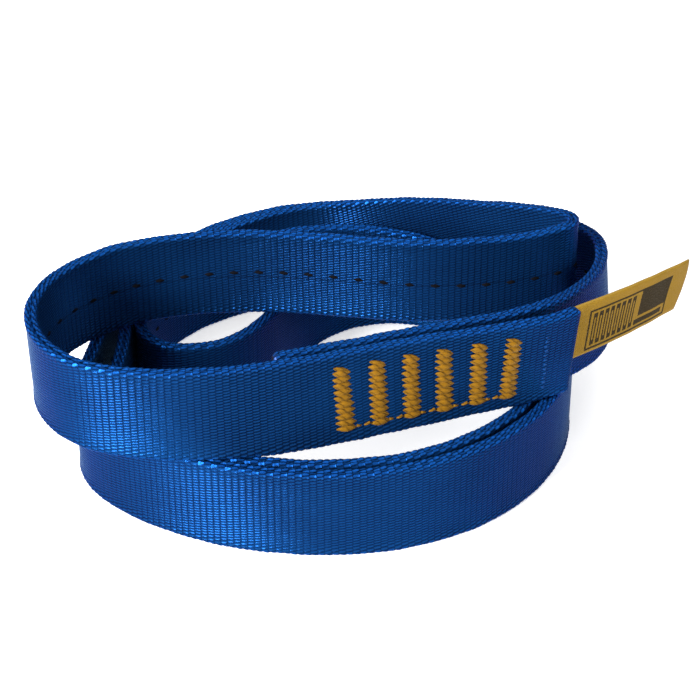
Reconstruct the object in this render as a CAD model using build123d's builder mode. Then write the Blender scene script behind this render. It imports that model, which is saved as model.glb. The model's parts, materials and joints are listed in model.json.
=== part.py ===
import os
from math import atan2, cos, degrees, hypot, radians, sin, tan

from build123d import *

# Webbing: woven tubular nylon, pressed flat and standing on its edge
webbing_width = 18.0
webbing_thickness = 2.5
layer_gap = 0.5  # between the two sewn layers, where the label's root lies
level_gap = 0.3  # between the lower turns and the turns that rest on them
layer_pitch = webbing_thickness + layer_gap
upper_level = webbing_width + level_gap
top_level = upper_level + webbing_width
corner_share = 0.45  # part of the shorter run that a bend takes up

# Plan position of the origin, under the middle of the whole object
middle_x, middle_y = 0.79, 11.66

# Bar tacks: dense zigzag stitching through both layers of the splice
tack_count = 6
tack_pitch = 6.62
first_tack = 8.3  # from the splice's left bend to the first tack's middle
tack_height = 14.0
tack_width = 4.4
pad_thickness = 0.5  # thread standing proud of each face
leg_radius = 0.4
leg_rows = 6
needle_clearance = 0.05

# Loose threads that run from one tack to the next
jump_radius = 0.3
jump_height = 2.4  # above the webbing's lower edge
jump_sag = 0.8

# Label: a woven ribbon whose root is caught between the layers at the outer cut end
label_height = 11.5
label_thickness = 0.4
label_bottom = upper_level + 3.3
label_root_arc = 25.0  # degrees of the right bend that the root follows
label_free_length = 30.0
label_heading = 43.0  # degrees from +X, counter-clockwise from above
hinge_ahead = 0.8  # the fold line, past the outer cut end
hinge_aside = 0.3  # and out from the middle of the gap between the layers
fold_gap = 0.35
label_tack_width = 2.2
label_tack_height = 12.5
label_tack_pad = 0.3

# The route seen from above, in the order that the webbing runs, as the corners of its bends.
# Upper turn: from the outer cut end along the splice's outside, round the left bight, to the back
splice_end = (42.0, -11.4)
splice_right = (36.8, -18.6)
splice_left = (-9.0, -35.3)
upper_turn = [
    (-24.0, -38.0), (-38.5, -37.8), (-52.5, -33.3), (-61.3, -19.5), (-60.6, -4.5),
    (-50.5, 8.3), (-36.0, 14.8), (-19.0, 16.4), (-3.0, 13.4), (13.5, 11.0), (28.5, 12.6),
    (41.0, 16.3),
]
# Down the slope at the back
slope_down = [
    (47.8, 20.6), (44.7, 28.0), (36.5, 36.2), (25.7, 46.0), (14.0, 55.0), (1.0, 61.3),
]
# Lower turns: inner front, the S across the middle, the tight left fold, outer front, back
lower_turns = [
    (-12.3, 62.7), (-24.7, 56.2), (-35.5, 46.3), (-43.7, 33.4), (-47.7, 18.5), (-48.5, 3.1),
    (-47.1, -12.3), (-42.2, -25.7), (-32.4, -34.6), (-18.5, -39.3), (-2.6, -39.9),
    (12.3, -35.6), (25.7, -25.7), (35.5, -12.9), (39.7, 2.1), (37.5, 17.5), (30.3, 30.9),
    (18.5, 39.1), (4.1, 40.6), (-8.2, 31.4), (-14.4, 19.0), (-20.1, 7.2), (-28.8, 0.5),
    (-39.1, 1.0), (-44.4, 8.7), (-43.8, 20.6), (-38.1, 31.9), (-27.8, 42.7), (-13.9, 50.4),
    (0.0, 53.9), (14.4, 50.2), (27.3, 40.9), (38.1, 28.8), (43.8, 14.4), (44.2, -2.1),
    (38.7, -18.1), (28.8, -30.7), (14.4, -39.7), (-2.1, -43.4), (-19.0, -42.6),
    (-34.1, -38.1), (-45.1, -27.8), (-50.7, -12.9), (-52.3, 3.1), (-51.2, 18.5),
    (-47.1, 35.0), (-37.5, 50.0), (-25.2, 60.7), (-10.8, 66.8), (3.1, 65.8),
]
# Up the slope outside the first one, to the splice's inner layer
slope_up = [
    (16.5, 59.1), (29.8, 52.2), (41.1, 45.8), (49.2, 38.0), (52.0, 26.6), (51.2, 12.5),
    (46.3, -0.3),
]
inner_cut_end = (-14.9, -33.3)

# Each slope falls or rises evenly between two plan points
down_from, down_to = (47.8, 22.6), (-4.5, 60.5)
up_to, up_from = (49.9, 3.5), (20.6, 57.6)
slope_margin = 25.0  # how far the level ends of a slope's shape reach


def place(point):
    """A plan point measured from the origin."""
    return (point[0] - middle_x, point[1] - middle_y)


def halfway(a, b):
    return ((a[0] + b[0]) / 2, (a[1] + b[1]) / 2)


def beside(a, b, distance):
    """The unit direction from a to b, and the shift that puts a line that far to its left."""
    length = hypot(b[0] - a[0], b[1] - a[1])
    ahead = ((b[0] - a[0]) / length, (b[1] - a[1]) / length)
    return ahead, (-ahead[1] * distance, ahead[0] * distance)


def offset_corner(before, corner, after, distance):
    """The same bend's corner on a line that runs that far to the left."""
    ahead_in, shift_in = beside(before, corner, distance)
    ahead_out, shift_out = beside(corner, after, distance)
    scale = 1 + ahead_in[0] * ahead_out[0] + ahead_in[1] * ahead_out[1]
    return (
        corner[0] + (shift_in[0] + shift_out[0]) / scale,
        corner[1] + (shift_in[1] + shift_out[1]) / scale,
    )


def bend_radii(points):
    """The largest radius at each inner corner that its two runs allow."""
    radii = []
    for before, corner, after in zip(points, points[1:], points[2:]):
        run_in = hypot(corner[0] - before[0], corner[1] - before[1])
        run_out = hypot(after[0] - corner[0], after[1] - corner[1])
        turn = atan2(after[1] - corner[1], after[0] - corner[0])
        turn -= atan2(corner[1] - before[1], corner[0] - before[0])
        half_turn = abs((degrees(turn) + 180) % 360 - 180) / 2
        radii.append(corner_share * min(run_in, run_out) / tan(radians(half_turn)))
    return radii


def section(before, points, after):
    """One stretch of the route, from the middle of one run to the middle of another."""
    radii = bend_radii([before, *points, after])
    stretch = [halfway(before, points[0]), *points, halfway(points[-1], after)]
    return [place(p) for p in stretch], radii


def slope_shape(high, low):
    """The side view of a slope: level, falling evenly, level, the webbing's width high."""
    (hx, hy), (lx, ly) = place(high), place(low)
    length = hypot(lx - hx, ly - hy)
    side_view = Plane(
        origin=(hx, hy, 0), x_dir=(lx - hx, ly - hy, 0), z_dir=(ly - hy, hx - lx, 0)
    )
    corners = [
        (-slope_margin, upper_level), (0, upper_level), (length, 0),
        (length + slope_margin, 0), (length + slope_margin, webbing_width),
        (length, webbing_width), (0, top_level), (-slope_margin, top_level),
    ]
    return side_view, corners


# The inner layer lies layer_pitch to the left of the outer one, seen along +X
inner_right = offset_corner(splice_left, splice_right, splice_end, layer_pitch)
inner_left = offset_corner(upper_turn[0], splice_left, splice_right, layer_pitch)
outer_bend = 20.0
inner_bend = outer_bend - layer_pitch
left_bend = 52.0

# Splice frame: x along the splice from its left bend, y up, z out of the outer face
splice_ahead, _ = beside(splice_left, splice_right, 0)
start_x, start_y = place(splice_left)
splice_face = Plane(
    origin=(
        start_x + splice_ahead[1] * webbing_thickness / 2,
        start_y - splice_ahead[0] * webbing_thickness / 2,
        upper_level + webbing_width / 2,
    ),
    x_dir=(*splice_ahead, 0),
    z_dir=(splice_ahead[1], -splice_ahead[0], 0),
)
stack = layer_pitch + webbing_thickness
tack_places = [(first_tack + i * tack_pitch, 0) for i in range(tack_count)]
leg_spacing_x = tack_width - 2 * leg_radius - 0.2
leg_spacing_y = (tack_height - 2 * leg_radius - 0.2) / (leg_rows - 1)
label_leg_spacing = (label_tack_height - 2 * leg_radius - 0.2) / (leg_rows - 1)

# Right bend: the outer layer's face at the middle of the bend, where the label's tack is
end_x, end_y = place(splice_end)
corner_x, corner_y = place(splice_right)
end_ahead, _ = beside(splice_right, splice_end, 0)
middle_angle = (atan2(splice_ahead[1], splice_ahead[0]) + atan2(end_ahead[1], end_ahead[0])) / 2
half_bend = (atan2(end_ahead[1], end_ahead[0]) - atan2(splice_ahead[1], splice_ahead[0])) / 2
bend_depth = outer_bend * (1 / cos(half_bend) - 1)
bend_out = (sin(middle_angle), -cos(middle_angle))
bend_face = Plane(
    origin=(
        corner_x + bend_out[0] * (webbing_thickness / 2 - bend_depth),
        corner_y + bend_out[1] * (webbing_thickness / 2 - bend_depth),
        label_bottom + label_height / 2,
    ),
    x_dir=(cos(middle_angle), sin(middle_angle), 0),
    z_dir=(*bend_out, 0),
)

# Label: where the gap between the layers opens at the outer cut end, and the fold just past it
bend_tangent = outer_bend * tan(half_bend)
root_mouth = (end_x - end_ahead[1] * layer_pitch / 2, end_y + end_ahead[0] * layer_pitch / 2)
last_straight = hypot(end_x - corner_x, end_y - corner_y) - bend_tangent
root_bend = (
    root_mouth[0] - end_ahead[0] * last_straight,
    root_mouth[1] - end_ahead[1] * last_straight,
)
fold = (
    root_mouth[0] + end_ahead[0] * hinge_ahead + end_ahead[1] * hinge_aside,
    root_mouth[1] + end_ahead[1] * hinge_ahead - end_ahead[0] * hinge_aside,
)
tab_ahead = (cos(radians(label_heading)), sin(radians(label_heading)))

points, radii = section(upper_turn[-1], slope_down, lower_turns[0])
with BuildPart() as falling:
    with BuildSketch():
        with BuildLine():
            FilletPolyline(*points, radius=radii)
        trace(line_width=webbing_thickness)
    extrude(amount=top_level)
    view, corners = slope_shape(down_from, down_to)
    with BuildSketch(view):
        with BuildLine():
            Polyline(*corners, close=True)
        make_face()
    extrude(amount=2 * top_level, both=True, mode=Mode.INTERSECT)

points, radii = section(lower_turns[-1], slope_up, inner_right)
with BuildPart() as rising:
    with BuildSketch():
        with BuildLine():
            FilletPolyline(*points, radius=radii)
        trace(line_width=webbing_thickness)
    extrude(amount=top_level)
    view, corners = slope_shape(up_to, up_from)
    with BuildSketch(view):
        with BuildLine():
            Polyline(*corners, close=True)
        make_face()
    extrude(amount=2 * top_level, both=True, mode=Mode.INTERSECT)

upper_radii = [outer_bend, *bend_radii([splice_right, splice_left, *upper_turn, slope_down[0]])]
upper_points = [splice_end, splice_right, splice_left, *upper_turn]
upper_points.append(halfway(upper_turn[-1], slope_down[0]))
lower_points, lower_radii = section(slope_down[-1], lower_turns, slope_up[0])
inner_points = [halfway(slope_up[-1], inner_right), inner_right, inner_left, inner_cut_end]

with BuildPart() as webbing:
    # Upper turn, with the splice's outer layer at its start
    with BuildSketch(Plane.XY.offset(upper_level)):
        with BuildLine():
            FilletPolyline(*[place(p) for p in upper_points], radius=upper_radii)
        trace(line_width=webbing_thickness)
    extrude(amount=webbing_width)
    add(falling.part)
    with BuildSketch():
        with BuildLine():
            FilletPolyline(*lower_points, radius=lower_radii)
        trace(line_width=webbing_thickness)
    extrude(amount=webbing_width)
    add(rising.part)
    # The splice's inner layer
    with BuildSketch(Plane.XY.offset(upper_level)):
        with BuildLine():
            FilletPolyline(*[place(p) for p in inner_points], radius=[inner_bend, left_bend])
        trace(line_width=webbing_thickness)
    extrude(amount=webbing_width)
    # Needle holes of the bar tacks and of the label's tack
    with BuildSketch(splice_face):
        with Locations(*tack_places):
            with GridLocations(leg_spacing_x, leg_spacing_y, 2, leg_rows):
                Circle(leg_radius + needle_clearance)
    extrude(amount=-stack, mode=Mode.SUBTRACT)
    with BuildSketch(bend_face):
        with GridLocations(0, label_leg_spacing, 1, leg_rows):
            Circle(leg_radius + needle_clearance)
    extrude(amount=-stack, mode=Mode.SUBTRACT)

# One node for each bar tack: a pad of thread on each face and the legs between them
tacks = []
for tack_x, tack_y in tack_places:
    with BuildPart() as bar_tack:
        with BuildSketch(splice_face, splice_face.offset(-stack - pad_thickness)):
            with Locations((tack_x, tack_y)):
                RectangleRounded(tack_width, tack_height, pad_thickness)
        extrude(amount=pad_thickness)
        with BuildSketch(splice_face):
            with Locations((tack_x, tack_y)):
                with GridLocations(leg_spacing_x, leg_spacing_y, 2, leg_rows):
                    Circle(leg_radius)
        extrude(amount=-stack)
    tacks.append(bar_tack)

# The thread between two tacks lies on the outer face, a little slack
jump_length = tack_pitch - tack_width
with BuildPart() as jump_threads:
    for tack_x, _ in tack_places[:-1]:
        first = (tack_x + tack_width / 2, jump_height - webbing_width / 2, jump_radius)
        last = (first[0] + jump_length, first[1], first[2])
        lowest = (first[0] + jump_length / 2, first[1] - jump_sag, first[2])
        with BuildLine(splice_face) as thread:
            ThreePointArc(first, lowest, last)
        with BuildSketch(Plane(origin=thread.line @ 0, z_dir=thread.line % 0)):
            Circle(jump_radius)
        sweep(path=thread.line)

with BuildPart() as label_tack:
    with BuildSketch(bend_face, bend_face.offset(-stack - label_tack_pad)):
        RectangleRounded(label_tack_width, label_tack_height, label_tack_pad)
    extrude(amount=label_tack_pad)
    with BuildSketch(bend_face):
        with GridLocations(0, label_leg_spacing, 1, leg_rows):
            Circle(leg_radius)
    extrude(amount=-stack)

# The label's root, in the gap between the layers, back from the outer cut end round the bend
with BuildPart() as label_root:
    with BuildSketch(Plane.XY.offset(label_bottom)):
        with BuildLine():
            root_line = Line(root_mouth, root_bend)
            JernArc(root_bend, root_line % 1, outer_bend - layer_pitch / 2, -label_root_arc)
        trace(line_width=label_thickness)
    extrude(amount=label_height)
    with BuildSketch(bend_face):
        with GridLocations(0, label_leg_spacing, 1, leg_rows):
            Circle(leg_radius + needle_clearance)
    extrude(amount=-stack, mode=Mode.SUBTRACT)

# The free part of the label, which swings about the fold at its root
with BuildPart() as label_tab:
    with BuildSketch(Plane(origin=(*fold, label_bottom), x_dir=(*tab_ahead, 0))):
        with Locations((fold_gap + label_free_length / 2, 0)):
            Rectangle(label_free_length, label_thickness)
    extrude(amount=label_height)

nodes = {f"bar_tack_{i + 1}": tack for i, tack in enumerate(tacks)}
nodes.update(
    webbing=webbing, jump_threads=jump_threads, label_tack=label_tack,
    label_root=label_root, label_tab=label_tab,
)
os.makedirs("parts", exist_ok=True)
for name, node in nodes.items():
    node.part.label = name
    export_step(node.part, f"parts/{name}.step")

whole = Compound(children=[node.part for node in nodes.values()]).bounding_box()
print("fold axis", fold)
print("box", whole)
print("webbing length", webbing.part.volume / webbing_width / webbing_thickness)
print("bend radii", [round(r, 1) for r in upper_radii + lower_radii])
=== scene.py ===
import json
import math
import random

import bpy
import numpy as np
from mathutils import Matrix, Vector


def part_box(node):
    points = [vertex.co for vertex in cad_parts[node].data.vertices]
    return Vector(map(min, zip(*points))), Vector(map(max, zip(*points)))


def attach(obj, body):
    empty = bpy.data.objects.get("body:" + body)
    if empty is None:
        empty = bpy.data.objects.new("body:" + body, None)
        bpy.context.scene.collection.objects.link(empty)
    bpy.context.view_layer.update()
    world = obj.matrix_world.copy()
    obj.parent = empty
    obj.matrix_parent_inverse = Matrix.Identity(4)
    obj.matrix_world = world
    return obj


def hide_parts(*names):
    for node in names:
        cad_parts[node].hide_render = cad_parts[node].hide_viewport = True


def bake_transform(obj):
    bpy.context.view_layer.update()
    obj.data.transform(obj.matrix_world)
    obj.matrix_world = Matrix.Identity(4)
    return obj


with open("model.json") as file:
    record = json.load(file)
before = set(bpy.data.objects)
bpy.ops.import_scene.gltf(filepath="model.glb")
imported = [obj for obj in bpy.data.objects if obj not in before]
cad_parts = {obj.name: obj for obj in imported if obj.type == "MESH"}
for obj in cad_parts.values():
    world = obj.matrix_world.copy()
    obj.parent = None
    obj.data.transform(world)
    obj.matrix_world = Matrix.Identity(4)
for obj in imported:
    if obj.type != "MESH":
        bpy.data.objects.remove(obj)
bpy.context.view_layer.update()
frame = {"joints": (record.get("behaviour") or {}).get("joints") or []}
scene = bpy.context.scene
MM = 0.001

# ---------------------------------------------------------------- the strap's measures, in mm
WIDTH = 18.0
HALF_WIDTH = WIDTH / 2
UPPER_LEVEL = 18.3  # of the upper turn's lower edge
LAYER_PITCH = 3.0  # from one layer of the splice to the other
MIDDLE = (0.79, 11.66)  # of the coil's plan, where the frame's origin is
RIB_PITCH = 1.28  # one pick of the weft
ROW_PITCH = 0.58  # one warp float across the width
SELVEDGE_ROW_PITCH = 0.66
STATIONS_PER_RIB = 4
FACE_HALF = 1.08  # half the thickness between the selvedges
FACE_EDGE = 7.3  # where the flat face ends and the selvedge begins
LOBE_RADIUS = 0.64  # a selvedge has two corded lobes with a valley between them
LOBE_ASIDE = 0.6
LOBE_ANGLES = (-25, 20, 65, 115)  # degrees round a lobe, from the face to the valley
VALLEY_DEPTH = 0.52
LOBE_V, LOBE_V_SPAN, VALLEY_V = 8.05, 1.35, 9.8  # woven coordinates across, round the selvedge
RIB_DEPTH = 0.042
BEAD_DEPTH = 0.15  # of the beads that each pick makes on the lobes
UNEVEN = 0.18  # how much one pick's rib and beads differ from another's
MELT_LENGTH = 1.1  # of the heat-cut ends
CUT_SKEW = 0.6  # of the outer cut end, at each edge
PRESS_DEPTH, PRESS_REACH = 0.2, 1.9  # of the stitching, into a face
SAMPLE = 0.25  # between points along the strap's line
SMOOTHING = 1.2  # of that line
TRACER_LEVEL = -0.6  # of the tracer yarn, above the middle of the width
LABEL_HEIGHT, LABEL_THICKNESS, LABEL_ROOT, LABEL_FREE = 11.5, 0.4, 10.0, 32.6
LABEL_FOLD = 0.6  # the ribbon's length in its fold
LABEL_SKEW = 1.4  # how far the upper edge hangs ahead of the lower one
TIP_HEADING = 43.0  # degrees, the way the label's tip points in the plan

# The route seen from above, a little truer to the photo than the CAD's, in the CAD's order: the
# outer layer of the splice first and the inner one last
SPLICE_END = (41.9, -14.3)
SPLICE_RIGHT = (36.7, -18.0)
SPLICE_LEFT = (-9.0, -36.1)
UPPER_TURN = [
    (-24.0, -38.8), (-38.5, -38.7), (-52.2, -33.8), (-60.2, -19.7), (-59.4, -4.9),
    (-50.2, 7.9), (-35.9, 14.4), (-19.0, 16.2), (-3.0, 14.0), (13.5, 10.9), (28.5, 12.6),
    (41.0, 16.3),
]
SLOPE_DOWN = [
    (47.3, 20.3), (44.4, 27.4), (36.5, 36.0), (25.9, 46.2), (14.0, 56.5), (1.5, 63.4),
]
LOWER_TURNS = [
    (-12.3, 63.8), (-24.5, 56.5), (-34.9, 45.9), (-42.9, 33.2), (-46.6, 17.5), (-44.9, 3.2),
    (-46.7, -11.6), (-42.4, -25.5), (-32.4, -34.2), (-18.5, -38.6), (-2.6, -40.1),
    (12.8, -37.2), (27.2, -27.9), (36.8, -14.5), (39.9, 2.1), (37.0, 18.5), (30.0, 32.5),
    (18.7, 41.6), (3.4, 43.3), (-8.6, 34.0), (-13.9, 21.0), (-19.4, 7.9), (-28.8, 1.0),
    (-38.8, 1.9), (-43.6, 10.0), (-43.1, 24.2), (-37.7, 35.9), (-26.9, 45.8), (-13.4, 52.4),
    (0.0, 54.8), (14.4, 50.4), (27.3, 40.9), (38.1, 28.8), (43.7, 14.4), (44.1, -2.1),
    (38.7, -18.2), (28.8, -31.0), (14.4, -40.2), (-2.1, -43.4), (-19.3, -41.7),
    (-34.4, -35.5), (-46.2, -26.9), (-54.0, -14.8), (-50.6, 3.1), (-50.0, 18.0),
    (-46.3, 34.0), (-36.5, 48.5), (-25.2, 58.5), (-10.8, 65.5), (3.1, 65.6),
]
SLOPE_UP = [
    (16.5, 59.1), (29.8, 52.2), (41.2, 46.9), (50.3, 40.6), (53.9, 28.5), (53.1, 13.2),
    (47.5, -0.3),
]
RISE = (0.0, 2.2, 4.7, 7.4, 9.8, 12.0, 14.4)  # of the lower edge, at the points of SLOPE_UP
LEAN_UP = (0.0, 0.0, 0.0, -0.1, -0.8, -2.4, -2.5)
INNER_CUT_END = (-13.8, -33.6)
DOWN_FROM, DOWN_TO = (47.8, 22.6), (-4.5, 60.5)  # where the falling slope begins and ends
TACKED_RIGHT, TACKED_LEFT = 12.8, 15.2  # control points this far in from the splice's corners


# ---------------------------------------------------------------- the strap's line
def along(a, b, distance):
    """The point that far from a towards b."""
    t = distance / math.dist(a, b)
    return (a[0] + (b[0] - a[0]) * t, a[1] + (b[1] - a[1]) * t)


def offset_corner(before, corner, after, distance):
    """The corner of the line that runs that far to the left of the one through these points."""
    u = np.subtract(corner, before) / math.dist(before, corner)
    v = np.subtract(after, corner) / math.dist(corner, after)
    shift = np.array([-u[1] - v[1], u[0] + v[0]]) * distance / (1 + u @ v)
    return tuple(np.add(corner, shift))


def slope_height(point, high, low):
    """The webbing's lower edge falls evenly from high to low and is level outside them."""
    run = np.subtract(low, high)
    share = np.subtract(point, high) @ run / (run @ run)
    return UPPER_LEVEL * (1 - min(1.0, max(0.0, share)))


def nurbs_line(points):
    """Points along the smooth line that these control points make."""
    curve = bpy.data.curves.new("line", "CURVE")
    curve.dimensions = "3D"
    curve.resolution_u = 24
    spline = curve.splines.new("NURBS")
    spline.points.add(len(points) - 1)
    for control, point in zip(spline.points, points):
        control.co = (*point, 1.0)
    spline.order_u = 4
    spline.use_endpoint_u = True
    holder = bpy.data.objects.new("line", curve)
    mesh = bpy.data.meshes.new_from_object(holder)
    line = np.array([v.co for v in mesh.vertices])
    bpy.data.objects.remove(holder)
    bpy.data.curves.remove(curve)
    bpy.data.meshes.remove(mesh)
    return line


def lengths(line):
    """How far along the line each of its points is."""
    return np.concatenate([[0], np.cumsum(np.linalg.norm(np.diff(line, axis=0), axis=1))])


def resample(values, at, to):
    """Rows of values, known at some distances, worked out at others."""
    return np.stack([np.interp(to, at, values[:, i]) for i in range(values.shape[1])], 1)


def smooth(values, step, sigma):
    """A Gaussian mean along the line that leaves its two ends where they are."""
    reach = int(4 * sigma / step)
    before = 2 * values[0] - values[reach:0:-1]
    after = 2 * values[-1] - values[-2:-reach - 2:-1]
    padded = np.concatenate([before, values, after])
    kernel = np.exp(-0.5 * (np.arange(-reach, reach + 1) * step / sigma) ** 2)
    kernel /= kernel.sum()
    return np.stack(
        [np.convolve(padded[:, i], kernel, "valid") for i in range(values.shape[1])], 1
    )


inner_right = offset_corner(SPLICE_LEFT, SPLICE_RIGHT, SPLICE_END, LAYER_PITCH)
inner_left = offset_corner(UPPER_TURN[0], SPLICE_LEFT, SPLICE_RIGHT, LAYER_PITCH)
outer_splice = [
    SPLICE_END, SPLICE_RIGHT, along(SPLICE_RIGHT, SPLICE_LEFT, TACKED_RIGHT),
    along(SPLICE_LEFT, SPLICE_RIGHT, TACKED_LEFT), SPLICE_LEFT,
]
inner_splice = [
    inner_right, along(inner_right, inner_left, TACKED_RIGHT),
    along(inner_left, inner_right, TACKED_LEFT), inner_left, INNER_CUT_END,
]
# Each control point holds its plan x and y, the lower edge's height, and how far the upper edge
# leans to the left of the direction of travel
LEAN_OUTER = [1.0, 1.3, -0.4, -2.5, -2.4]
LEAN_INNER = [0.0, -1.2, -2.6, -2.4, -2.0]
LEAN_UPPER = [-1.4, -0.5, 0.2, 0.4, 0.5, 0.5, 0.3, 0.2, 0.0, 0.0, 0.0, 0.0]
route = [(*p, UPPER_LEVEL, lean) for p, lean in zip(outer_splice, LEAN_OUTER)]
route += [(*p, UPPER_LEVEL, lean) for p, lean in zip(UPPER_TURN, LEAN_UPPER)]
route += [(*p, slope_height(p, DOWN_FROM, DOWN_TO), 0.0) for p in SLOPE_DOWN]
route += [(*p, 0.0, 0.0) for p in LOWER_TURNS]
route += [(*p, height, lean) for p, height, lean in zip(SLOPE_UP, RISE, LEAN_UP)]
route += [(*p, UPPER_LEVEL, lean) for p, lean in zip(inner_splice, LEAN_INNER)]

lower_points, upper_points = [], []
for i, (x, y, z, lean) in enumerate(route):
    before, after = route[max(i - 1, 0)], route[min(i + 1, len(route) - 1)]
    run = math.dist(after[:2], before[:2])
    ahead = np.subtract(after[:2], before[:2]) / run
    slope = math.atan2(after[2] - before[2], run)
    tall = math.sqrt(WIDTH ** 2 - lean ** 2)
    back = tall * math.sin(slope)  # the width stands square to a sloping lower edge
    x, y = x - MIDDLE[0], y - MIDDLE[1]
    lower_points.append((x, y, z))
    upper_points.append((
        x - ahead[1] * lean - ahead[0] * back, y + ahead[0] * lean - ahead[1] * back,
        z + tall * math.cos(slope),
    ))
lower_edge, upper_edge = nurbs_line(lower_points), nurbs_line(upper_points)
middle_line = (lower_edge + upper_edge) / 2
distance = lengths(middle_line)
even = np.linspace(0, distance[-1], int(distance[-1] / SAMPLE) + 1)
lower_edge = smooth(resample(lower_edge, distance, even), even[1], SMOOTHING)
upper_edge = smooth(resample(upper_edge, distance, even), even[1], SMOOTHING)
middle_line = (lower_edge + upper_edge) / 2
line_at = lengths(middle_line)
strap_length = line_at[-1]
ribs = int(round(strap_length / RIB_PITCH))


class Line:
    """Middle, direction, up and right-hand side of the strap at distances along it."""

    def __init__(self, at):
        at = np.atleast_1d(np.asarray(at, float))
        reach = 0.3
        self.middle = resample(middle_line, line_at, at)
        ahead = resample(middle_line, line_at, at + reach)
        behind = resample(middle_line, line_at, at - reach)
        self.ahead = self.unit(ahead - behind)
        up = resample(upper_edge, line_at, at) - resample(lower_edge, line_at, at)
        self.up = self.unit(up)
        self.right = self.unit(np.cross(self.ahead, self.up))

    @staticmethod
    def unit(v):
        return v / np.linalg.norm(v, axis=1, keepdims=True)

    def point(self, i, ahead, up, right):
        """A point that far off the i-th place on the line."""
        return self.middle[i] + self.ahead[i] * ahead + self.up[i] * up + self.right[i] * right


def nearest(point, low, high):
    """The distance along the strap, between low and high, nearest to a point in the plan."""
    chosen = (line_at >= low) & (line_at <= high)
    gaps = np.linalg.norm(middle_line[chosen][:, :2] - np.array(point[:2]), axis=1)
    return line_at[chosen][np.argmin(gaps)]


TACKS = 6
SPLICE_REACH = 90.0  # the splice lies within this distance of either end


def splice_places(node):
    """Where a CAD node lies along the splice's outer layer, and along its inner one."""
    low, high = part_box(node)
    middle = [(a + b) / 2 / MM for a, b in zip(low, high)]
    return (
        nearest(middle, 0, SPLICE_REACH),
        nearest(middle, strap_length - SPLICE_REACH, strap_length),
    )


tacks_outer, tacks_inner = zip(*(splice_places(f"bar_tack_{i + 1}") for i in range(TACKS)))


# ---------------------------------------------------------------- meshes
def make_piece(name, vertices, faces, material, maps):
    """A smooth mesh object, from points in mm; each UV map has one (u, v) for each face corner."""
    mesh = bpy.data.meshes.new(name)
    mesh.from_pydata((np.asarray(vertices) * MM).tolist(), [], faces)
    mesh.polygons.foreach_set("use_smooth", [True] * len(mesh.polygons))
    for map_name, uv in maps.items():
        layer = mesh.uv_layers.new(name=map_name)
        layer.data.foreach_set("uv", np.asarray(uv, np.float32).ravel())
    mesh.materials.append(material)
    mesh.update()
    piece = bpy.data.objects.new(name, mesh)
    scene.collection.objects.link(piece)
    return piece


def grid_faces(rows, columns):
    """Quads between rings of points, from each row to the next."""
    faces = []
    for r in range(rows - 1):
        for c in range(columns):
            n = (c + 1) % columns
            a, b = r * columns, (r + 1) * columns
            faces.append((a + c, a + n, b + n, b + c))
    return faces


class Shader:
    """A node material, built from its sockets; arithmetic on Value objects adds Math nodes."""

    def __init__(self, name, **settings):
        self.material = bpy.data.materials.new(name)
        self.material.use_nodes = True
        self.tree = self.material.node_tree
        self.principled = self.tree.nodes["Principled BSDF"]
        for socket, value in settings.items():
            self.set(self.principled, socket.replace("_", " "), value)

    def set(self, node, socket, value):
        target = node.inputs[socket]
        if isinstance(value, Value):
            self.tree.links.new(value.socket, target)
        else:
            target.default_value = value

    def node(self, kind, inputs=(), output=0, **properties):
        node = self.tree.nodes.new(kind)
        for name, value in properties.items():
            setattr(node, name, value)
        for socket, value in dict(inputs).items():
            self.set(node, socket, value)
        return Value(self, node.outputs[output])

    def math(self, operation, *inputs):
        return self.node("ShaderNodeMath", enumerate(inputs), operation=operation)

    def uv(self, name):
        """The two coordinates of a UV map."""
        whole = self.node("ShaderNodeUVMap", uv_map=name)
        split = self.tree.nodes.new("ShaderNodeSeparateXYZ")
        self.tree.links.new(whole.socket, split.inputs[0])
        return Value(self, split.outputs[0]), Value(self, split.outputs[1])

    def vector(self, x, y):
        return self.node("ShaderNodeCombineXYZ", {0: x, 1: y})

    def noise(self, vector, scale, detail, roughness=0.5):
        return self.node(
            "ShaderNodeTexNoise",
            {"Vector": vector, "Scale": scale, "Detail": detail, "Roughness": roughness},
        )

    def mix(self, factor, a, b):
        """Between two colours."""
        node = self.tree.nodes.new("ShaderNodeMix")
        node.data_type = "RGBA"
        for socket, value in ((0, factor), (6, a), (7, b)):
            self.set(node, socket, value)
        return Value(self, node.outputs[2])

    def ramp(self, factor, low, high, to_low=0.0, to_high=1.0):
        """A smooth step from to_low to to_high as the factor goes from low to high."""
        return self.node(
            "ShaderNodeMapRange",
            {0: factor, 1: low, 2: high, 3: to_low, 4: to_high},
            interpolation_type="SMOOTHSTEP",
        )

    def bump(self, height, distance):
        return self.node("ShaderNodeBump", {"Height": height, "Distance": distance})


class Value:
    """A node's output, on which arithmetic works."""

    def __init__(self, shader, socket):
        self.shader, self.socket = shader, socket

    def __add__(self, other):
        return self.shader.math("ADD", self, other)

    def __sub__(self, other):
        return self.shader.math("SUBTRACT", self, other)

    def __mul__(self, other):
        return self.shader.math("MULTIPLY", self, other)

    def __rsub__(self, other):
        return self.shader.math("SUBTRACT", other, self)

    def __pow__(self, other):
        return self.shader.math("POWER", self, other)

    __radd__, __rmul__ = __add__, __mul__

    def op(self, operation, *others):
        return self.shader.math(operation, self, *others)

    def part(self):
        """What is left of the value above its whole number."""
        return self - self.op("FLOOR")


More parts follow.
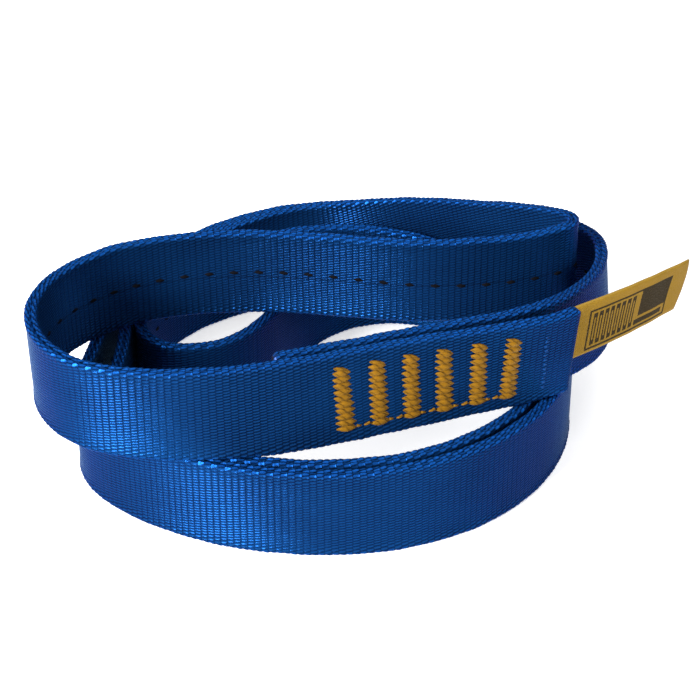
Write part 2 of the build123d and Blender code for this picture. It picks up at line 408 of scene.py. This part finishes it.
# ---------------------------------------------------------------- materials
# The first colour below is painted shade for the low places between the floats and ribs
WEAVE_GAP_SHADE, WEAVE_BLUE = (0.0014, 0.0042, 0.02, 1), (0.0034, 0.029, 0.108, 1)
PALE_BLUE = (0.004, 0.041, 0.148, 1)
# Painted highlight for the crests of the selvedge's beads
SELVEDGE_BEAD_HIGHLIGHT = (0.006, 0.075, 0.34, 1)
# Painted shadow along the tracer yarn's groove
TRACER_GROOVE_SHADOW = (0.002, 0.006, 0.02, 1)
MELTED_NYLON = (0.02, 0.012, 0.005, 1)
NYLON_GLOSS, NYLON_SHEEN = (0.02, 0.32, 0.6, 1), (0.05, 0.35, 1, 1)
# The thread colours come in pairs: a dark one, which is painted shade in the grooves between plies
# and also tints random patches, and a lit one for the crests
AMBER_DARK_AND_SHADED, AMBER_LIT = (0.016, 0.0055, 0.0003, 1), (0.18, 0.082, 0.0035, 1)
AMBER_GLOSS = (1, 0.72, 0.3, 1)
NAVY_DARK_AND_SHADED, NAVY_LIT = (0.001, 0.008, 0.05, 1), (0.003, 0.04, 0.17, 1)
NAVY_GLOSS = (0.2, 0.5, 1, 1)
BLACK_DARK_AND_SHADED, BLACK_LIT = (0.0008, 0.0008, 0.0012, 1), (0.003, 0.003, 0.005, 1)
RIBBON_DARK, RIBBON_LIGHT = (0.12, 0.064, 0.006, 1), (0.25, 0.142, 0.013, 1)
RIBBON_BLOTCH, RIBBON_EDGE = (0.19, 0.11, 0.01, 1), (0.34, 0.225, 0.05, 1)
RIBBON_SHEEN = (1, 0.75, 0.35, 1)
INK = (0.012, 0.008, 0.003, 1)
FLOOR_DARK, FLOOR_LIGHT = (0.86, 0.86, 0.865, 1), (0.9, 0.9, 0.905, 1)


def webbing_material():
    """Warp floats on weft ribs: each rib's floats are half a float off its neighbours'.

    It is partly metallic, so that the gloss is tinted as that of blue nylon filaments is."""
    sh = Shader(
        "webbing_nylon",
        Metallic=0.62,
        Specular_IOR_Level=0.02,
        Specular_Tint=NYLON_GLOSS,
        Sheen_Weight=0.05,
        Sheen_Roughness=0.4,
        Sheen_Tint=NYLON_SHEEN,
    )
    rib, across = sh.uv("weave")
    side, melt = sh.uv("side")
    phase = rib.part()
    odd = (rib.op("FLOOR") * 0.5).part()
    edge = (across.op("ABSOLUTE") - (FACE_EDGE - 0.6)).op("MAXIMUM", 0.0)
    wobble = sh.noise(sh.vector(rib * 0.35, across * 0.5), 1.0, 2.0) - 0.5
    slant = (phase - 0.5) * (side * -0.44 + 0.22)  # the two faces' floats lean opposite ways
    wider = edge * across.op("SIGN") * (1 / ROW_PITCH - 1 / SELVEDGE_ROW_PITCH)
    rows = across * (1 / ROW_PITCH) - wider + odd + slant + wobble * 0.35
    float_phase = rows.part()
    over_rib = (phase * math.pi).op("SINE") ** 0.32
    over_row = (float_phase * math.pi).op("SINE") ** 1.1
    height = over_rib * over_row
    fibres = sh.noise(sh.vector(rib * 0.6, rows * 5.0), 4.0, 3.0, 0.65)
    height = height + fibres * 0.12
    tracer_line = sh.ramp((across - TRACER_LEVEL).op("ABSOLUTE"), 0.05, 0.28, 1.0, 0.0) * side
    height = height - tracer_line * 0.2
    # Painted shade: the low places between floats and ribs are mixed towards a darker blue, the
    # crests towards the webbing's own blue
    shade = sh.ramp(height, 0.1, 0.95)
    slow = sh.noise(sh.vector(rib * 0.045, across * 0.06), 1.0, 3.0)  # faint broad patches
    colour = sh.mix(shade, WEAVE_GAP_SHADE, WEAVE_BLUE)
    colour = sh.mix(sh.ramp(slow, 0.3, 0.75, 0.0, 0.35), colour, PALE_BLUE)
    # Painted highlight: the crests of the beads on the selvedges are mixed towards a brighter blue
    selvedge = sh.ramp(across.op("ABSOLUTE"), 8.1, 8.9) * sh.ramp(height, 0.25, 0.8)
    colour = sh.mix(selvedge * 0.7, colour, SELVEDGE_BEAD_HIGHLIGHT)
    # Painted shadow: a darker blue along the tracer yarn's groove in the right-hand face
    colour = sh.mix(tracer_line * 0.15, colour, TRACER_GROOVE_SHADOW)
    melted = sh.noise(sh.vector(rib * 1.3, across * 1.1), 1.0, 2.0)
    colour = sh.mix(melt * sh.ramp(melted, 0.2, 0.6), colour, MELTED_NYLON)
    sh.set(sh.principled, "Base Color", colour)
    roughness = sh.ramp(fibres, 0.3, 0.7, 0.25, 0.37) + selvedge * 0.12
    sh.set(sh.principled, "Roughness", roughness)
    sh.set(sh.principled, "Normal", sh.bump(height * (1.0 - melt), 0.000135))
    return sh.material


def thread_material(name, dark_and_shaded, light, twists, roughness, specular, tint=None, sheen=0.1):
    """Twisted yarn: plies wind round each tube, with finer filaments in them."""
    sh = Shader(name, Specular_IOR_Level=specular, Sheen_Weight=sheen, Sheen_Roughness=0.5)
    if tint:
        sh.set(sh.principled, "Specular Tint", tint)
        sh.set(sh.principled, "Sheen Tint", tint)
    around, ahead = sh.uv("yarn")
    ply = (around * 2.0 + ahead * (twists * 0.35)).part() * math.pi
    ply = ply.op("SINE") ** 0.6
    filament = sh.noise(sh.vector(around * 9.0 + ahead * twists, ahead * 0.5), 2.2, 3.0)
    patch = sh.noise(sh.vector(around * 0.5, ahead * 0.35), 1.0, 2.0)
    height = ply * 0.4 + filament * 0.95
    # Painted shade and highlight: the grooves between plies and filaments take the dark colour, the
    # crests the lit one; random patches below also darken towards the dark colour
    colour = sh.mix(sh.ramp(height, 0.3, 0.95), dark_and_shaded, light)
    colour = sh.mix(sh.ramp(patch, 0.35, 0.75, 0.0, 0.35), colour, dark_and_shaded)
    sh.set(sh.principled, "Base Color", colour)
    sh.set(sh.principled, "Roughness", sh.ramp(filament, 0.3, 0.7, roughness, roughness + 0.15))
    sh.set(sh.principled, "Normal", sh.bump(height, 0.00011))
    return sh.material


def label_material():
    """Woven amber ribbon with a plain print: a frame, bars, a block, a line and dashes."""
    sh = Shader(
        "label_ribbon", Specular_IOR_Level=0.12, Sheen_Weight=0.02, Sheen_Roughness=0.4,
        Sheen_Tint=RIBBON_SHEEN, Specular_Tint=AMBER_GLOSS,
    )
    ahead, up = sh.uv("ribbon")
    front, _ = sh.uv("side")
    weft = (up * (math.pi / 0.28)).op("SINE")
    warp = (ahead * (math.pi / 0.34)).op("SINE")
    grain = weft.op("ABSOLUTE") * 0.6 + warp.op("ABSOLUTE") * 0.4
    blotch = sh.noise(sh.vector(ahead * 0.35, up * 0.35), 1.0, 3.0)
    fine = sh.noise(sh.vector(ahead * 3.0, up * 3.0), 1.0, 2.0)
    ragged = (fine - 0.5) * 0.22

    def inside(value, low, high):
        """1 between low and high, with a woven edge."""
        middle, half = (low + high) / 2, (high - low) / 2
        away = (value + ragged - middle).op("ABSOLUTE")
        return sh.ramp(away, half - 0.05, half + 0.05, 1.0, 0.0)

    def rectangle(x0, x1, y0, y1):
        return inside(ahead, x0, x1) * inside(up, y0, y1)

    # The print's places are in mm from the fold and from the lower edge
    left, right, foot, top, rule = 5.2, 28.2, 0.6, 9.3, 0.45
    within = rectangle(left + rule, right - rule, foot + rule, top - rule)
    border = rectangle(left, right, foot, top) * (1.0 - within)
    block = rectangle(19.6, right, 3.2, top)
    line = rectangle(18.6, 27.0, 1.5, 2.6)
    bar_step, dash_step = 1.52, 1.1
    cell = ((ahead - 6.2) * (1 / bar_step)).part() * bar_step
    bars = inside(cell, 0.15, 1.2) * rectangle(6.2, 18.3, 1.5, 8.4)
    hollow = inside(cell, 0.5, 0.85) * rectangle(6.2, 18.2, 2.5, 7.4)
    dash = (up * (1 / dash_step)).part() * dash_step
    dashes = rectangle(0.9, 1.5, 3.4, 7.8) * inside(dash, 0.2, 0.85)
    ink = border
    for mark in (block, line, bars * (1.0 - hollow), dashes):
        ink = ink.op("MAXIMUM", mark)
    ink = ink * front * sh.ramp(fine, 0.15, 0.5, 0.84, 0.99)
    ground = sh.mix(sh.ramp(grain, 0.15, 0.8), RIBBON_DARK, RIBBON_LIGHT)
    ground = sh.mix(sh.ramp(blotch, 0.35, 0.7, 0.0, 0.4), ground, RIBBON_BLOTCH)
    half = LABEL_HEIGHT / 2
    edge = sh.ramp((up - half).op("ABSOLUTE"), half - 0.45, half)
    ground = sh.mix(edge * 0.4, ground, RIBBON_EDGE)
    colour = sh.mix(ink, ground, INK)
    sh.set(sh.principled, "Base Color", colour)
    sh.set(sh.principled, "Roughness", sh.ramp(fine, 0.3, 0.7, 0.6, 0.78))
    height = grain - ink * 0.25 + fine * 0.2
    sh.set(sh.principled, "Normal", sh.bump(height, 0.00005))
    return sh.material


def floor_material():
    """Nearly white, and a little luminous so that it renders white."""
    sh = Shader("pale_floor", Specular_IOR_Level=0.1, Roughness=0.9)
    place = sh.node("ShaderNodeTexCoord", output=3)
    grain = sh.noise(place, 6.0, 3.0)
    sh.set(sh.principled, "Base Color", sh.mix(grain, FLOOR_DARK, FLOOR_LIGHT))
    sh.set(sh.principled, "Emission Color", (1.0, 1.0, 1.0, 1.0))
    sh.set(sh.principled, "Emission Strength", 0.52)
    return sh.material


nylon = webbing_material()
amber = thread_material(
    "thread_amber", AMBER_DARK_AND_SHADED, AMBER_LIT, twists=1.6, roughness=0.42, specular=0.18,
    tint=AMBER_GLOSS,
)
blue_thread = thread_material(
    "thread_blue", NAVY_DARK_AND_SHADED, NAVY_LIT, twists=1.6, roughness=0.42, specular=0.08,
    tint=NAVY_GLOSS,
)
black_yarn = thread_material(
    "tracer_black", BLACK_DARK_AND_SHADED, BLACK_LIT, twists=0.5, roughness=0.75, specular=0.05,
    sheen=0.0,
)
ribbon = label_material()


# ---------------------------------------------------------------- the webbing
def webbing_piece():
    """The whole strap: two pressed faces with a rib for each pick, and two corded selvedges."""
    rng = np.random.default_rng(7)
    u = np.arange(ribs * STATIONS_PER_RIB + 1) / STATIONS_PER_RIB
    at = u / ribs * strap_length
    line = Line(at)
    # The two heat-cut ends are melted over their last stretch, where the section closes up
    from_end = np.minimum(at, strap_length - at)
    melt = np.clip(1 - from_end / MELT_LENGTH, 0, 1)
    rib_strength = 1 + UNEVEN * rng.standard_normal(ribs + 2)
    strength = rib_strength[np.clip(np.floor(u + 0.01).astype(int), 0, ribs)]

    def wave(seed, size, spans):
        """An uneven swing along the strap, made of waves of these lengths in mm."""
        phases = np.random.default_rng(seed).uniform(0, 2 * math.pi, len(spans))
        total = sum(np.sin(2 * math.pi * at / span + p) for span, p in zip(spans, phases))
        return size * total / len(spans)

    # Columns round the section, each as kind, side (1 for the right-hand face), place (the height
    # of a face's column, or 1 and -1 for the two edges), woven coordinate and turn round the lobe
    face_rows = (-FACE_EDGE, -2.5, 2.5, FACE_EDGE)
    first_angle, last_angle = LOBE_ANGLES[0], LOBE_ANGLES[-1]
    columns = []

    def face(side):
        columns.extend(("face", side, b, b, 0.0) for b in face_rows[::side])

    def lobe(side, edge):
        for angle in LOBE_ANGLES[::side * edge]:
            turn = (angle - first_angle) / (last_angle - first_angle)
            v = edge * (LOBE_V + turn * LOBE_V_SPAN)
            columns.append(("lobe", side, edge, v, turn))

    def valley(edge):
        columns.append(("valley", 0, edge, edge * VALLEY_V, 0.0))

    for side in (1, -1):
        face(side)
        lobe(side, side)
        valley(side)
        lobe(-side, side)

    def pressed(places):
        """How far the stitching presses a face in at each tack."""
        return sum(PRESS_DEPTH * np.exp(-(((at - p) / PRESS_REACH) ** 2)) for p in places)

    # The left-hand face is stitched on the outer layer, the right-hand one on the inner layer
    press = {-1: pressed(tacks_outer), 1: pressed(tacks_inner)}
    edge_wave = {1: wave(3, 0.13, (9.1, 14.7, 23.0)), -1: wave(4, 0.1, (8.3, 16.1, 27.0))}
    close = 1 - 0.45 * np.clip(1 - from_end / 0.9, 0, 1) ** 2
    rough_cut = wave(9, 0.1, (1.1, 2.3, 3.9))
    points = np.zeros((len(at), len(columns), 3))
    for c, (kind, side, place, _, turn) in enumerate(columns):
        # a is how far the column stands to the right of the strap's middle, and b how far above
        if kind == "face":
            rib = np.abs(np.sin(math.pi * u)) ** 0.7 * strength
            fade = 1.0 if abs(place) < FACE_EDGE else 0.75
            a = side * (FACE_HALF - RIB_DEPTH / 2 + RIB_DEPTH * fade * rib - press[side])
            b = np.full(len(at), float(place))
        elif kind == "lobe":
            angle = math.radians(first_angle + turn * (last_angle - first_angle))
            shift = 0.42 * turn + (0.5 if side * place < 0 else 0.0)
            bead = np.abs(np.sin(math.pi * (u + shift))) ** 0.75 * strength
            radius = LOBE_RADIUS - BEAD_DEPTH * 0.55 + BEAD_DEPTH * bead
            a = side * (LOBE_ASIDE + radius * math.cos(angle) - 0.5 * press[side])
            middle = HALF_WIDTH - LOBE_RADIUS + 0.02 + edge_wave[place]
            b = place * (middle + radius * math.sin(angle))
        else:
            a = 0.05 * np.sin(math.pi * u)
            b = place * (HALF_WIDTH - VALLEY_DEPTH + edge_wave[place])
        a, b = a * close, b * (1 - 0.07 * melt ** 2) + melt * rough_cut * 0.4
        # The outer cut end isn't quite square
        askew = (-CUT_SKEW * np.exp(-at / 12) * b / HALF_WIDTH)[:, None]
        points[:, c] = (
            line.middle + line.up * b[:, None] + line.right * a[:, None] + line.ahead * askew
        )
    count, around = len(at), len(columns)
    vertices = points.reshape(-1, 3)
    faces = grid_faces(count, around)
    # Each end is closed by a smaller ring and a middle point that bulge a little
    extra = []
    end_rows = (0, count - 1)
    for row, way in zip(end_rows, (-1, 1)):
        middle, ahead = line.middle[row], line.ahead[row]
        start = len(vertices) + len(extra)
        extra.extend((middle + ahead * way * 0.12 + (points[row] - middle) * 0.72).tolist())
        extra.append((middle + ahead * way * 0.17).tolist())
        hub = start + around
        for c in range(around):
            n = (c + 1) % around
            a, b = row * around + c, row * around + n
            if row == 0:
                faces.append((b, a, start + c, start + n))
                faces.append((start + n, start + c, hub))
            else:
                faces.append((a, b, start + n, start + c))
                faces.append((start + c, start + n, hub))
    vertices = np.concatenate([vertices, np.array(extra)])
    # Face corners: the rib and width coordinates, then which side it is and how far melted
    v_of = [column[3] for column in columns]
    uv, side_uv = [], []
    for r in range(count - 1):
        m0, m1 = melt[r], melt[r + 1]
        for c in range(around):
            n = (c + 1) % around
            # A quad beside a valley takes its side from its other column
            right = 1.0 if columns[c][1] + columns[n][1] > 0 else 0.0
            uv += [(u[r], v_of[c]), (u[r], v_of[n]), (u[r + 1], v_of[n]), (u[r + 1], v_of[c])]
            side_uv += [(right, m0), (right, m0), (right, m1), (right, m1)]
    for row in end_rows:
        for c in range(around):
            n = (c + 1) % around
            order = (n, c, c, n) if row == 0 else (c, n, n, c)
            uv += [(u[row], v_of[k]) for k in order] + [(u[row], v_of[k]) for k in (c, n, c)]
            side_uv += [(0.0, 1.0)] * 7
    return make_piece("webbing_strap", vertices, faces, nylon, {"weave": uv, "side": side_uv})


strap = webbing_piece()
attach(strap, "sling")
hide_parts("webbing")


# ---------------------------------------------------------------- thread
def tube(path, radii, sides, flat, up):
    """Rings of points of a tube along a path; flat squeezes it along the up directions."""
    path = np.asarray(path, float)
    ahead = np.gradient(path, axis=0)
    ahead /= np.linalg.norm(ahead, axis=1, keepdims=True)
    up = np.asarray(up, float)
    if up.ndim == 1:
        up = np.tile(up, (len(path), 1))
    aside = np.cross(ahead, up)
    aside /= np.linalg.norm(aside, axis=1, keepdims=True)
    up = np.cross(aside, ahead)
    angles = np.arange(sides) / sides * 2 * math.pi
    ring = aside[:, None] * np.cos(angles)[None, :, None]
    ring = ring + up[:, None] * (np.sin(angles) * flat)[None, :, None]
    return path[:, None] + ring * np.asarray(radii)[:, None, None]


class Yarns:
    """Many short tubes joined into one mesh, with a UV along and round each."""

    def __init__(self):
        self.vertices, self.faces, self.uv = [], [], []

    def add(self, path, radii, sides, flat, up, seed=0.0):
        """The seed shifts the yarn's pattern along it."""
        rings = tube(path, radii, sides, flat, up)
        start, rows = len(self.vertices), len(rings)
        self.vertices.extend(rings.reshape(-1, 3).tolist())
        at = lengths(np.asarray(path, float)) + seed
        for r in range(rows - 1):
            for c in range(sides):
                n = (c + 1) % sides
                a, b = start + r * sides, start + (r + 1) * sides
                self.faces.append((a + n, a + c, b + c, b + n))
                u0, u1 = c / sides, (c + 1) / sides
                self.uv += [(u1, at[r]), (u0, at[r]), (u0, at[r + 1]), (u1, at[r + 1])]
        for row, flip in ((0, False), (rows - 1, True)):
            ring = [start + row * sides + c for c in range(sides)]
            self.faces.append(tuple(ring[::-1] if flip else ring))
            self.uv += [(0.5, at[row])] * sides

    def piece(self, name, material):
        return make_piece(name, self.vertices, self.faces, material, {"yarn": self.uv})


YARN_SIDES = 8
TACK_WIDTH, TACK_HEIGHT, TACK_CYCLES, TACK_RADIUS, TACK_LIFT = 4.95, 12.5, 10, 0.66, 0.3
TACK_LEANS = (0.7, 0.1, -0.1, -0.1, -0.35, -1.0)  # each tack's foot is this far to the right


def zigzag(yarns, line, facing, width, height, cycles, radius, lift, lean, rng):
    """A column of zigzag stitches on one face: facing is 1 on the right-hand side, -1 on the left.

    Seen from outside, x runs to the viewer's right, y up and z out of the face. Each cycle is a
    stitch to the right and a thinner, lower one back up to the left, and both dive at their ends."""
    pitch = height / cycles
    dive = 0.3  # how far a stitch's ends go into the weave
    surface = FACE_HALF - PRESS_DEPTH
    shake_x, shake_y = 0.12, 0.06
    t = np.linspace(0, 1, 11)
    arch = np.sin(math.pi * t) ** 0.55
    swell = 0.07 + 0.93 * np.sin(math.pi * t) ** 1.8

    def at(x, y, z):
        x = x - lean * y / height
        return (
            line.middle[0] + line.ahead[0] * facing * x + line.up[0] * y
            + line.right[0] * facing * (surface + z)
        )

    for i in range(cycles):
        y = -height / 2 + pitch * (i + 0.3) - 0.1
        half = width / 2 * (1.06 - 0.14 * i / (cycles - 1))  # a little wider at the foot
        dip = y - pitch * 0.15
        runs = (
            ((-half, y), (half, dip), lift, radius),
            ((half, dip), (-half, y + pitch), lift - 0.18, radius * 0.74),
        )
        for (x0, y0), (x1, y1), rise, fat in runs:
            x0, x1 = x0 + rng.uniform(-shake_x, shake_x), x1 + rng.uniform(-shake_x, shake_x)
            y0, y1 = y0 + rng.uniform(-shake_y, shake_y), y1 + rng.uniform(-shake_y, shake_y)
            path = [
                at(x0 + (x1 - x0) * k, y0 + (y1 - y0) * k, (dive + rise) * h - dive)
                for k, h in zip(t, arch)
            ]
            radii = fat * swell * rng.uniform(0.92, 1.06)
            yarns.add(path, radii, YARN_SIDES, 0.5, line.right[0] * facing, rng.uniform(0, 9))


rng = random.Random(11)
for i, places in enumerate(zip(tacks_outer, tacks_inner)):
    yarns = Yarns()
    for at, facing in zip(places, (-1, 1)):
        zigzag(
            yarns, Line(at), facing, TACK_WIDTH, TACK_HEIGHT, TACK_CYCLES, TACK_RADIUS,
            TACK_LIFT, -facing * TACK_LEANS[i], rng,
        )
    tack = yarns.piece(f"bar_tack_stitches_{i + 1}", amber)
    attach(tack, "sling")
    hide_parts(f"bar_tack_{i + 1}")

# Threads between the tacks' feet: a short tail, a dip into the weave, and a tail again
yarns = Yarns()
t = np.linspace(0, 1, 15)
for i in range(TACKS - 1):
    start = tacks_outer[i] - TACK_WIDTH / 2 * 0.75 - TACK_LEANS[i] / 2
    stop = tacks_outer[i + 1] + TACK_WIDTH / 2 * 0.8 - TACK_LEANS[i + 1] / 2
    spots = Line(start + (stop - start) * t)
    depth = 0.12 - 0.42 * np.exp(-(((t - 0.45) / 0.22) ** 2))
    low = -TACK_HEIGHT / 2 + 0.45 - 0.35 * np.sin(math.pi * t) + 0.15 * t
    path = [spots.point(k, 0, low[k], -(FACE_HALF + depth[k])) for k in range(len(t))]
    radii = 0.27 * (0.55 + 0.45 * np.abs(np.cos(math.pi * t)) ** 0.5)
    yarns.add(path, radii, YARN_SIDES, 0.85, -spots.right[0], i * 1.7)
jumps = yarns.piece("jump_stitches", amber)
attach(jumps, "sling")
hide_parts("jump_threads")

# The label's tack, in the webbing's own blue, on both faces of the splice
yarns = Yarns()
for at, facing in zip(splice_places("label_tack"), (-1, 1)):
    zigzag(
        yarns, Line(at), facing, width=1.7, height=12.2, cycles=12, radius=0.26, lift=0.18,
        lean=0.0, rng=rng,
    )
label_stitches = yarns.piece("label_tack_stitches", blue_thread)
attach(label_stitches, "sling")
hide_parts("label_tack")


# ---------------------------------------------------------------- the tracer yarn
def tracer_level(at):
    """How far up the width the yarn wanders: highest at the left of the rear upper run."""
    rear_run = (90, 260)
    rise, dip = nearest((-14.8, 3.4), *rear_run), nearest((29.0, 1.0), *rear_run)
    level = TRACER_LEVEL + 0.95 * np.exp(-(((at - rise) / 30) ** 2))
    return level - 0.5 * np.exp(-(((at - dip) / 24) ** 2))


def tracer_piece():
    """One black yarn in the right-hand face: up over one rib in four, and under the rest."""
    rib = strap_length / ribs
    period = 4
    yarns = Yarns()
    u = np.arange(3.0, ribs - 3, 0.25)
    spots = Line(u * rib)
    phase = (u / period) % 1.0
    over = np.clip(np.cos(2 * math.pi * (phase - 0.5)), -0.45, 1)
    height = FACE_HALF - 0.2 + 0.2 * over
    fat = np.where(over > 0, 0.14 + 0.27 * np.clip(over, 0, 1), 0.12)
    drift = -0.35 * (phase - 0.5) + tracer_level(u * rib)
    path = [spots.point(k, 0, drift[k], height[k]) for k in range(len(u))]
    yarns.add(path, fat, 6, 0.55, spots.right)
    return yarns.piece("tracer_yarn", black_yarn)


tracer = tracer_piece()
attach(tracer, "sling")


# ---------------------------------------------------------------- the label
label_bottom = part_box("label_tab")[0][2] / MM
joint = next(j for j in frame["joints"] if j["name"] == "label_fold")
fold = np.array(joint["pos_m"]) / MM


def label_piece():
    """One ribbon, its root between the splice's layers and its free part standing out."""
    # The root runs back between the layers; the free part curves a little to its tip
    points = []
    for back in (LABEL_ROOT, 7.0, 4.0, 1.5):
        spot = Line(back)
        gap = spot.middle[0] + spot.right[0] * LAYER_PITCH / 2
        points.append((gap[0], gap[1], 0.0))
    points.append((fold[0], fold[1], 0.0))
    bends = ((3.5, 34.0), (7.0, 36.0), (7.5, 38.5), (8.0, 41.0), (9.0, TIP_HEADING))
    for forward, heading in bends:
        x, y, _ = points[-1]
        turn = math.radians(heading)
        points.append((x + forward * math.cos(turn), y + forward * math.sin(turn), 0.0))
    path = nurbs_line(points)
    at = lengths(path)
    fold_at = at[np.argmin(np.linalg.norm(path[:, :2] - fold[:2], axis=1))]
    start, stop = fold_at - LABEL_ROOT, fold_at + LABEL_FREE + LABEL_FOLD
    rows, columns = 84, 13
    share = np.linspace(0, 1, rows)
    vertices, uv = np.zeros((2, rows, columns, 3)), np.zeros((rows, columns, 2))
    for c, k in enumerate(np.linspace(0, 1, columns)):
        # The label hangs askew, its upper edge ahead of its lower one, with a bowed tip
        short = 1.2 * (2 * k - 1) ** 2
        reach = start + (stop - short - start) * share
        place = reach + LABEL_SKEW * (k - 0.5) * np.clip((reach - fold_at) / 4 + 0.6, 0, 1)
        spot = resample(path, at, place)
        ahead = Line.unit(resample(path, at, place + 0.2) - resample(path, at, place - 0.2))
        right = np.stack([ahead[:, 1], -ahead[:, 0], 0 * ahead[:, 0]], 1)
        out = np.clip((reach - fold_at) / LABEL_FREE, 0, 1)
        cup = 0.35 * out * (1 - (2 * k - 1) ** 2) * np.sin(math.pi * out * 0.8)
        lean = 0.9 * out ** 1.5 * (2 * k - 1)
        ripple = 0.06 * np.sin(reach * 0.9 + k * 2.0) * out
        middle = spot + right * (lean - cup + ripple)[:, None]
        middle[:, 2] = label_bottom + LABEL_HEIGHT * k
        thin = LABEL_THICKNESS * (0.42 if c in (0, columns - 1) else 0.5)
        vertices[0, :, c] = middle + right * thin
        vertices[1, :, c] = middle - right * thin
        uv[:, c, 0], uv[:, c, 1] = reach - fold_at, LABEL_HEIGHT * k
    index = np.arange(2 * rows * columns).reshape(2, rows, columns)
    faces, corners, sides = [], [], []

    def quad(cells, side):
        """A face from its (layer, row, column) cells; side is 1 on the printed face."""
        faces.append(tuple(int(index[s, r, c]) for s, r, c in cells))
        corners.extend(tuple(uv[r, c]) for _, r, c in cells)
        sides.extend([(side, 0.0)] * 4)

    end, last = rows - 1, columns - 1
    for r in range(end):
        for c in range(last):
            quad([(0, r, c), (0, r + 1, c), (0, r + 1, c + 1), (0, r, c + 1)], 1.0)
            quad([(1, r, c + 1), (1, r + 1, c + 1), (1, r + 1, c), (1, r, c)], 0.0)
        quad([(1, r, 0), (1, r + 1, 0), (0, r + 1, 0), (0, r, 0)], 0.0)
        quad([(0, r, last), (0, r + 1, last), (1, r + 1, last), (1, r, last)], 0.0)
    for c in range(last):
        quad([(0, 0, c), (0, 0, c + 1), (1, 0, c + 1), (1, 0, c)], 0.0)
        quad([(0, end, c + 1), (0, end, c), (1, end, c), (1, end, c + 1)], 0.0)
    maps = {"ribbon": corners, "side": sides}
    return make_piece("label", vertices.reshape(-1, 3), faces, ribbon, maps)


label = label_piece()
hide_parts("label_root", "label_tab")
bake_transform(label)


# ---------------------------------------------------------------- floor, lights and camera
REACH = 6.0  # of the floor, in metres, each way
floor_mesh = bpy.data.meshes.new("floor")
floor_mesh.from_pydata(
    [(-REACH, -REACH, 0), (REACH, -REACH, 0), (REACH, REACH, 0), (-REACH, REACH, 0)], [],
    [(0, 1, 2, 3)],
)
floor_mesh.materials.append(floor_material())
floor = bpy.data.objects.new("floor", floor_mesh)
floor.location.z = -0.0001  # just under the strap's lower edge
scene.collection.objects.link(floor)

target = Vector((-MIDDLE[0], -MIDDLE[1], WIDTH)) * MM


def area_light(name, place, size, power):
    """A soft square light at a place measured from the object, aimed at it."""
    data = bpy.data.lights.new(name, "AREA")
    data.shape = "SQUARE"
    data.size = size
    data.energy = power
    light = bpy.data.objects.new(name, data)
    light.location = target + Vector(place)
    light.rotation_mode = "QUATERNION"
    light.rotation_quaternion = (-Vector(place)).to_track_quat("-Z", "Y")
    scene.collection.objects.link(light)


area_light("key", (-0.9, -0.92, 0.56), size=0.4, power=66.0)
area_light("top", (0.1, 0.3, 1.3), size=1.1, power=7.0)
area_light("fill", (1.25, 0.15, 0.5), size=0.8, power=7.0)

world = bpy.data.worlds.new("studio")
world.use_nodes = True
background = world.node_tree.nodes["Background"]
background.inputs["Color"].default_value = (1, 1, 1, 1)
background.inputs["Strength"].default_value = 0.42
scene.world = world
scene.view_settings.view_transform = "Standard"

ELEVATION, DISTANCE = math.radians(31.0), 382.6 * MM
camera_data = bpy.data.cameras.new("camera")
camera_data.sensor_width = 36.0
camera_data.lens = 99.0
camera = bpy.data.objects.new("camera", camera_data)
back = Vector((0, -math.cos(ELEVATION), math.sin(ELEVATION)))
camera.location = target + back * DISTANCE
camera.rotation_mode = "QUATERNION"
camera.rotation_quaternion = (-back).to_track_quat("-Z", "Y")
camera_data.clip_start, camera_data.clip_end = 0.01, 50.0
scene.collection.objects.link(camera)
scene.camera = camera
